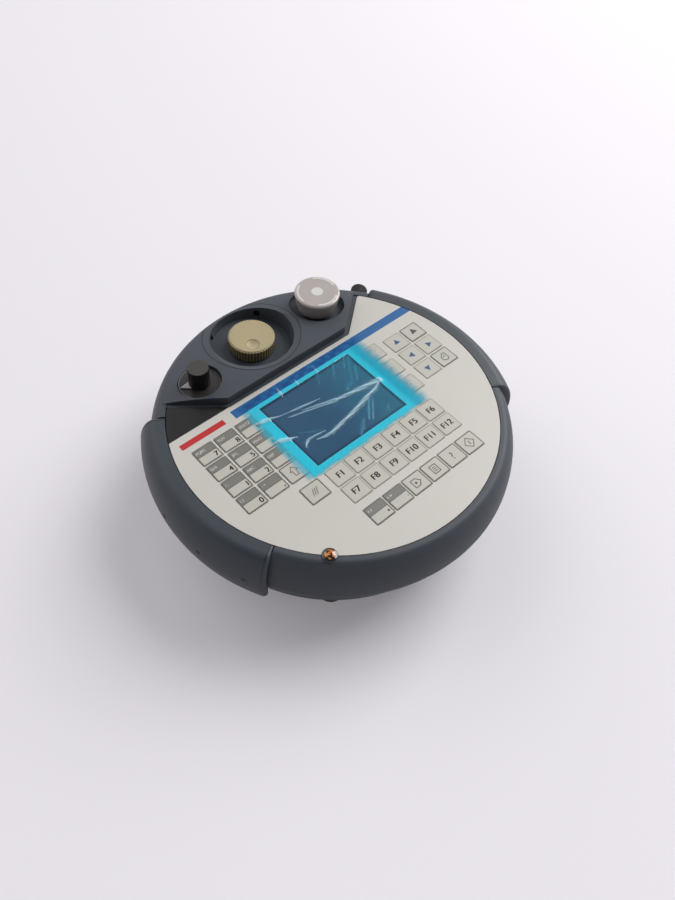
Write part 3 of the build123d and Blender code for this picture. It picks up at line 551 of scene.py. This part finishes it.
# On the left it fades in two steps, with a paler band between them.
left_fade, left_step, right_fade = (-54.2, -50.6), (-49.0, -47.4), (48.8, 60.6)
low_fade, high_fade = (-37.2, -32.8), (41.2, 42.5)
pale_band = 0.55
edge_left = pale_band * smooth(film_x - 0.2 * fray, *left_fade)
edge_left = edge_left + (1 - pale_band) * smooth(film_x - 0.1 * fray, *left_step)
edge_right = 1 - smooth(film_x, right_fade[0] + 0.5 * fray, right_fade[1] + 0.35 * fray)
edge_low = smooth(film_y - waver, *low_fade)
edge_high = 1 - smooth(film_y - waver, *high_fade)
lift = np.zeros(film_x.shape)
glint = np.zeros(film_x.shape)
streak = np.zeros(film_x.shape)
for points, height, glint_strength in creases:
    across, along = across_ribbon(film_x, film_y, points)
    fibres = 0.84 + 0.2 * np.cos(4.6 * across + 0.45 * along)
    lift = np.maximum(lift, height * np.exp(-across ** 2))
    glint = np.maximum(glint, glint_strength * fibres * np.exp(-across ** 4))
for points, density in streaks:
    across, along = across_ribbon(film_x, film_y, points)
    streak = np.maximum(streak, density * np.exp(-(across / streak_spread) ** 2))
    lift = np.maximum(lift, streak_height * np.exp(-across ** 2))
# It looks thin over the glass, thinner still in the shade of the window's edge and cloudier to the right.
# Over the blue strip it clings in blotches.
over_glass = over_window(film_x, film_y, -0.3, 0.3)
shaded_edge = over_glass - over_window(film_x, film_y, 0.6, 3.2)
cloud = over_glass * smooth(film_x, -12.0, 40.0)
over_strip = smooth(film_y, 34.8, 35.8)
blotch = np.sin(film_x * 0.62 + 1.5 * np.sin(film_x * 0.23)) * np.sin(film_y * 0.7 + film_x * 0.21)
film_dense = 0.88 - 0.54 * over_glass - 0.42 * over_strip + 0.1 * cloud - 0.17 * shaded_edge
film_dense = np.maximum(film_dense, streak)
film_cover = np.maximum(film_dense, glint) * edge_left * edge_right * edge_low * edge_high
film_tint = np.broadcast_to(linear("#2cd0ec"), (*film_x.shape, 4))
# The near-white last colour is the painted highlight along the creases.
for colour, share in (
    ("#1cb0cf", smooth(film_x, 42.5, 48.0)),
    ("#4a81ad", over_glass),
    ("#4a9abb", cloud),
    ("#1c66ab", over_strip),
    ("#0f3a80", 0.7 * over_strip * smooth(blotch, 0.1, 0.7)),
    ("#2f9fd0", 0.6 * over_strip * smooth(-blotch, 0.3, 0.9)),
    ("#45a0c6", streak * over_glass),
    ("#bfe6f4", glint),
):
    film_tint = film_tint + (np.array(linear(colour)) - film_tint) * share[..., None]
film_z = face_top + (film_lift + lift - glass_sag * over_glass) * mm
film_points = np.stack([film_x * mm, film_y * mm, film_z], 2).reshape(-1, 3)
corner = np.arange(film_x.size).reshape(film_x.shape)
film_faces = np.stack(
    [corner[:-1, :-1], corner[1:, :-1], corner[1:, 1:], corner[:-1, 1:]], 2).reshape(-1, 4)
blue_film, tree, shader, place = new_finish("clear_blue_polyester_film", {"Roughness": 0.16, "IOR": 1.45})
tint = add(tree, "Attribute", attribute_name="tint")
tree.links.new(tint.outputs["Color"], shader.inputs["Base Color"])
# A faint haze runs the way that the film was drawn when it was made.
drawn_along, drawn_across, drawn_turn = 16 * mm, 3 * mm, np.radians(50)
drawn = add(tree, "Mapping", {"Vector": place, "Rotation": (0, 0, drawn_turn),
                              "Scale": (drawn_along, drawn_across, 1)}, vector_type="TEXTURE")
haze = add(tree, "TexNoise", {"Vector": drawn.outputs[0], "Scale": 1.0, "Detail": 3.0})
haze = add(tree, "MapRange", {0: haze.outputs["Fac"], 1: 0.3, 2: 0.7, 3: 0.9, 4: 1.08})
cover = add(tree, "Attribute", attribute_name="cover")
dense = add(tree, "Math", {0: cover.outputs["Fac"], 1: haze.outputs[0]},
            operation="MULTIPLY", use_clamp=True)
tree.links.new(dense.outputs[0], shader.inputs["Alpha"])
film = add_piece("protective_film", film_points, film_faces.tolist(), [blue_film],
                 np.zeros(len(film_faces)), "housing")
film.data.attributes.new("cover", "FLOAT", "POINT").data.foreach_set("value", film_cover.ravel())
film.data.attributes.new("tint", "FLOAT_COLOR", "POINT").data.foreach_set("color", film_tint.ravel())
film.data.shade_smooth()

# Slot shade: four flat black sheets just behind the four slots in the dish's wall,
# a painted shade that makes the slots look deep.
slot_radius = 30.8 * mm
slot_half_width = 2.2 * mm
slot_angles = np.radians((45, 135, 225, 315))[:, None]
slot_across = slot_half_width * np.array([-1, 1, 1, -1])
slot_foot, slot_head = 12.0 * mm, 6.85 * mm
slot_up = dish_high.z - np.array([slot_foot, slot_foot, slot_head, slot_head])
slot_x = dish_centre.x + slot_radius * np.cos(slot_angles) + slot_across * np.sin(slot_angles)
slot_y = dish_centre.y + slot_radius * np.sin(slot_angles) - slot_across * np.cos(slot_angles)
slot_points = np.stack([slot_x, slot_y, np.broadcast_to(slot_up, slot_x.shape)], 2).reshape(-1, 3)
slot_faces = np.arange(slot_x.size).reshape(slot_x.shape)
# Painted shade: these black sheets stand where the slots hold only shadow.
slot_shade_black = moulded(
    "painted_slot_shade", "#060606", "#0c0c0c", grain=0.8 * mm, relief=0.1 * mm, roughness=0.9)[0]
add_piece("dish_slot_shade", slot_points, slot_faces.tolist(), [slot_shade_black],
          np.zeros(len(slot_faces)), "housing")

# Handwheel: turned from khaki plastic, satin on top, with a finger dimple ringed by a line of painted shade.
# Its fluted rim is painted darker as shade, darkest in the grooves and less on the crests. It is pressed on
# the encoder's spindle.
wheel_low, wheel_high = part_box("handwheel")
wheel_centre = Vector(((wheel_low.x + wheel_high.x) / 2, (wheel_low.y + wheel_high.y) / 2, 0))
wheel_radius = (wheel_high.x - wheel_low.x) / 2
wheel_bevel = 0.85 * mm
flute_zone = 1.0 * mm
groove_depth, crest_depth = 0.45 * mm, 0.05 * mm
dimple_turn = np.radians(238)
dimple_offset = 8.7 * mm
dimple_centre = wheel_centre + dimple_offset * Vector((np.cos(dimple_turn), np.sin(dimple_turn), 0))
dimple_radius = 4.8 * mm
dimple_shade_width = 0.28 * mm
khaki, tree, shader, place = moulded(
    "satin_khaki_plastic", "#aa9d78", "#b6a984", grain=0.8 * mm, relief=0.02 * mm, roughness=0.42,
    patch=20 * mm)
dimple_reach = reach_from(tree, place, dimple_centre)
# Painted shade: a dark ring round the dimple's edge.
dimple_rim_shade = add(tree, "Math", {0: dimple_reach, 1: dimple_radius, 2: dimple_shade_width}, operation="COMPARE")
reach = reach_from(tree, place, wheel_centre)
axes = add(tree, "SeparateXYZ", {0: place})
below = add(tree, "Math", {0: axes.outputs[2], 1: wheel_high.z - wheel_bevel}, operation="LESS_THAN")
outer = add(tree, "Math", {0: reach, 1: wheel_radius - flute_zone}, operation="GREATER_THAN")
side = add(tree, "Math", {0: below.outputs[0], 1: outer.outputs[0]}, operation="MULTIPLY")
ridge = add(tree, "MapRange", {0: reach, 1: wheel_radius - groove_depth, 2: wheel_radius - crest_depth})
crest = add(tree, "Math", {0: side.outputs[0], 1: ridge.outputs[0]}, operation="MULTIPLY")
# Painted shade on the fluted side: the grooves are darkest and the crests lighter.
paint(tree, shader, (dimple_rim_shade.outputs[0], "#85785a"), (side.outputs[0], "#54472a"),
      (crest.outputs[0], "#968660"))
wear(khaki, "handwheel")

# Override knob: black fluted thermoset knob on a glossy skirt, with a white-filled pointer and a grey cap.
# A painted highlight runs pale round the skirt's rim; the knob is pressed on the switch's spindle.
knob_low, knob_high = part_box("override_knob")
knob_centre = Vector(((knob_low.x + knob_high.x) / 2, (knob_low.y + knob_high.y) / 2, 0))
barrel_height = 15.7 * mm
skirt_top = knob_high.z - barrel_height
skirt_radius = (knob_high.x - knob_low.x) / 2
rim_highlight_width = 0.5 * mm
barrel_radius = 7.7 * mm
face_step = 0.3 * mm
knob_black, tree, shader, place = moulded(
    "black_fluted_thermoset", "#161516", "#1e1c1c", grain=0.7 * mm, relief=0.01 * mm, roughness=0.3)
axes = add(tree, "SeparateXYZ", {0: place})
reach = reach_from(tree, place, knob_centre)
outside = add(tree, "Math", {0: reach, 1: barrel_radius}, operation="GREATER_THAN")
raised = add(tree, "Math", {0: axes.outputs[2], 1: skirt_top + face_step}, operation="GREATER_THAN")
pointer = add(tree, "Math", {0: outside.outputs[0], 1: raised.outputs[0]}, operation="MULTIPLY")
skirt = add(tree, "Math", {0: outside.outputs[0], 1: raised.outputs[0]},
            operation="SUBTRACT", use_clamp=True)
# Painted highlight: a pale ring round the skirt's rim.
rim_highlight = add(tree, "Math", {0: reach, 1: skirt_radius - rim_highlight_width}, operation="GREATER_THAN")
capped = add(tree, "Math", {0: axes.outputs[2], 1: knob_high.z - face_step}, operation="GREATER_THAN")
paint(tree, shader, (skirt.outputs[0], "#2d2928"), (rim_highlight.outputs[0], "#7d7975"),
      (pointer.outputs[0], "#c4c2be"), (capped.outputs[0], "#423e3b"))
wear(knob_black, "override_knob")

# Stop button: grey lacquered cap with a satin metallic lustre, printed with a white centre dot
# and three turn marks near its rim. It is pulled onto the plunger and turns to release.
cap_grey = moulded(
    "satin_grey_lacquer", "#b9b1ac", "#c3bbb6", grain=0.6 * mm, relief=0.008 * mm, roughness=0.3,
    patch=18 * mm, values={"Metallic": 0.2})[0]
wear(cap_grey, "stop_cap")
cap_low, cap_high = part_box("stop_cap")
cap_centre = np.array([(cap_low.x + cap_high.x) / 2, (cap_low.y + cap_high.y) / 2])
dot_radius = 4.4
mark_radius, mark_width, mark_turn = 14.6, 1.4, 72
cap_marks = [(white_ink, disc(dot_radius))]
cap_marks += [(white_ink, ring(mark_radius, mark_width, start, mark_turn, 24)) for start in (-10, 114, 234)]
print_on("stop_cap_print", cap_centre, cap_high.z, cap_marks, "stop_cap")

# Inspection seal: a small resin-domed dot stuck over the edge of the face plate.
# Amber foil flakes show through its black resin.
seal_centre = np.array([-78.3, -83.5]) * mm
seal_radius = 5.0 * mm
seal_wall = 0.3 * mm
seal_rise = 1.1 * mm
heart_radius = 3.3 * mm
flake = 2.6 * mm
crown_lean, dome_rows = 1.5, 12


def turned(profile, centre, steps=64):
    """Surface of revolution about an upright axis: profile rows (radius, height) swept through a full turn,
    with one face across the last row."""
    profile = np.asarray(profile, float)
    angle = 2 * np.pi * np.arange(steps) / steps
    radius, height = profile[:, :1], profile[:, 1:]
    x = centre[0] + radius * np.cos(angle)
    y = centre[1] + radius * np.sin(angle)
    points = np.stack([x, y, height + 0 * angle], 2).reshape(-1, 3)
    index = np.arange(points.shape[0]).reshape(len(profile), steps)
    following = np.roll(index, -1, 1)
    quads = np.stack([index[:-1], following[:-1], following[1:], index[1:]], 2).reshape(-1, 4).tolist()
    return points, quads + [tuple(index[-1])]


seal_resin, tree, shader, place = new_finish(
    "resin_domed_seal", {"Roughness": 0.08, "IOR": 1.55, "Coat Weight": 1.0, "Coat Roughness": 0.03})
reach = reach_from(tree, place, (*seal_centre, 0))
heart = add(tree, "Math", {0: reach, 1: heart_radius}, operation="LESS_THAN")
sparks = add(tree, "TexNoise", {"Vector": place, "Scale": 1 / flake, "Detail": 1.0})
sparks = add(tree, "MapRange", {0: sparks.outputs["Fac"], 1: 0.44, 2: 0.5})
amber = add(tree, "Math", {0: heart.outputs[0], 1: sparks.outputs[0]}, operation="MULTIPLY")
mix = add(tree, "Mix", {0: amber.outputs[0], 6: linear("#14110f"), 7: linear("#d9863f")}, data_type="RGBA")
tree.links.new(mix.outputs[2], shader.inputs["Base Color"])
lean = np.linspace(0, crown_lean, dome_rows)
dome = np.column_stack([seal_radius * np.cos(lean), face_top + seal_wall + seal_rise * np.sin(lean)])
dome = np.concatenate([[(seal_radius, face_top)], dome])
seal_points, seal_faces = turned(dome, seal_centre)
seal = add_piece("inspection_seal", seal_points, seal_faces, [seal_resin],
                 np.zeros(len(seal_faces)), "housing")
seal.data.shade_smooth()

# Studio: a pale paper floor and backdrop, one wide soft lamp from the right, and a surround that brightens
# towards the ceiling behind the pendant. The floor is pale to the eye and in reflections,
# and darker to the light that it throws back.
floor_reach = 4.2
floor_glow = 0.2
backdrop_height = 2.6
backdrop_foot = -0.01


def looked_at(tree):
    """1 for a ray from the eye, also one mirrored or sent through glass: the largest of the three."""
    path = add(tree, "LightPath")
    seen = path.outputs["Is Camera Ray"]
    for way in ("Is Glossy Ray", "Is Transmission Ray"):
        seen = add(tree, "Math", {0: seen, 1: path.outputs[way]}, operation="MAXIMUM").outputs[0]
    return seen


def set_stage(name, points, faces, material):
    """Adds a mesh that belongs to the studio and not to the pendant."""
    mesh = bpy.data.meshes.new(name)
    mesh.from_pydata(np.asarray(points, float).tolist(), [], faces)
    mesh.materials.append(material)
    sheet = bpy.data.objects.new(name, mesh)
    bpy.context.scene.collection.objects.link(sheet)
    sheet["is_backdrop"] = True


floor_paper, tree, shader, place = new_finish(
    "pale_paper_floor", {"Roughness": 0.9, "Emission Color": linear("#f2eef4")})
seen = looked_at(tree)
mix = add(tree, "Mix", {0: seen, 6: linear("#5f5d62"), 7: linear("#dedbe0")}, data_type="RGBA")
tree.links.new(mix.outputs[2], shader.inputs["Base Color"])
glow = add(tree, "Math", {0: seen, 1: floor_glow}, operation="MULTIPLY")
tree.links.new(glow.outputs[0], shader.inputs["Emission Strength"])
floor_points, floor_faces = bar(-floor_reach, -floor_reach, floor_reach, floor_reach)
set_stage("floor", np.column_stack([floor_points, np.zeros(4)]), floor_faces, floor_paper)

backdrop_paper, tree, shader, place = new_finish("pale_paper_backdrop", {"Roughness": 0.9})
pale = add(tree, "Emission", {"Color": linear("#ebe7ed")})
clear = add(tree, "BsdfTransparent")
choice = add(tree, "MixShader", {0: looked_at(tree), 1: clear.outputs[0], 2: pale.outputs[0]})
tree.links.new(choice.outputs[0], tree.nodes["Material Output"].inputs["Surface"])
wall_points, wall_faces = turned([(floor_reach, backdrop_foot), (floor_reach, backdrop_height)], (0, 0))
set_stage("backdrop", wall_points, wall_faces[:-1], backdrop_paper)

world = bpy.data.worlds.new("bright_ceiling")
world.use_nodes = True
tree = world.node_tree
surround = tree.nodes["Background"]
surround.inputs["Color"].default_value = linear("#f6f4f6")
brightest = (-0.17, 0.9, 0.4)
dim, bright, bright_from = 0.19, 1.72, 0.6
direction = add(tree, "TexCoord").outputs["Generated"]
towards = add(tree, "VectorMath", {0: direction, 1: brightest}, operation="DOT_PRODUCT")
ceiling = add(tree, "MapRange", {0: towards.outputs["Value"], 1: bright_from, 2: 1.0, 3: dim, 4: bright},
              interpolation_type="SMOOTHSTEP")
tree.links.new(ceiling.outputs[0], surround.inputs["Strength"])
bpy.context.scene.world = world

lamp = bpy.data.lights.new("window_lamp", "AREA")
lamp.size = 2.6
lamp.energy = 112
lamp_place = Vector((2.6, -0.1, 2.4))
lamp_target = Vector((0, 0, 0.05))
holder = bpy.data.objects.new("window_lamp", lamp)
holder.location = lamp_place
holder.rotation_euler = (lamp_target - lamp_place).to_track_quat("-Z", "Y").to_euler()
bpy.context.scene.collection.objects.link(holder)

# Camera: the photograph's own stand-point, turn and lens, for an image of 675 by 900.
# It looks down at the pendant from the front left, turned a little about its own axis.
camera_place = Vector((-0.2418, -0.2401, 0.4963))
camera_azimuth, camera_elevation, camera_roll = np.radians((-45.97, 53.75, 5.15))
back = Vector((
    np.sin(camera_azimuth) * np.cos(camera_elevation),
    -np.cos(camera_azimuth) * np.cos(camera_elevation), np.sin(camera_elevation)))
camera = bpy.data.cameras.new("camera")
camera.sensor_width = 36.0
camera.lens = 31.165
holder = bpy.data.objects.new("camera", camera)
facing = (-back).to_track_quat("-Z", "Y").to_matrix() @ Matrix.Rotation(camera_roll, 3, "Z")
holder.matrix_world = Matrix.Translation(camera_place) @ facing.to_4x4()
bpy.context.scene.collection.objects.link(holder)
bpy.context.scene.camera = holder
bpy.context.scene.view_settings.view_transform = "Standard"

low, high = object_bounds()
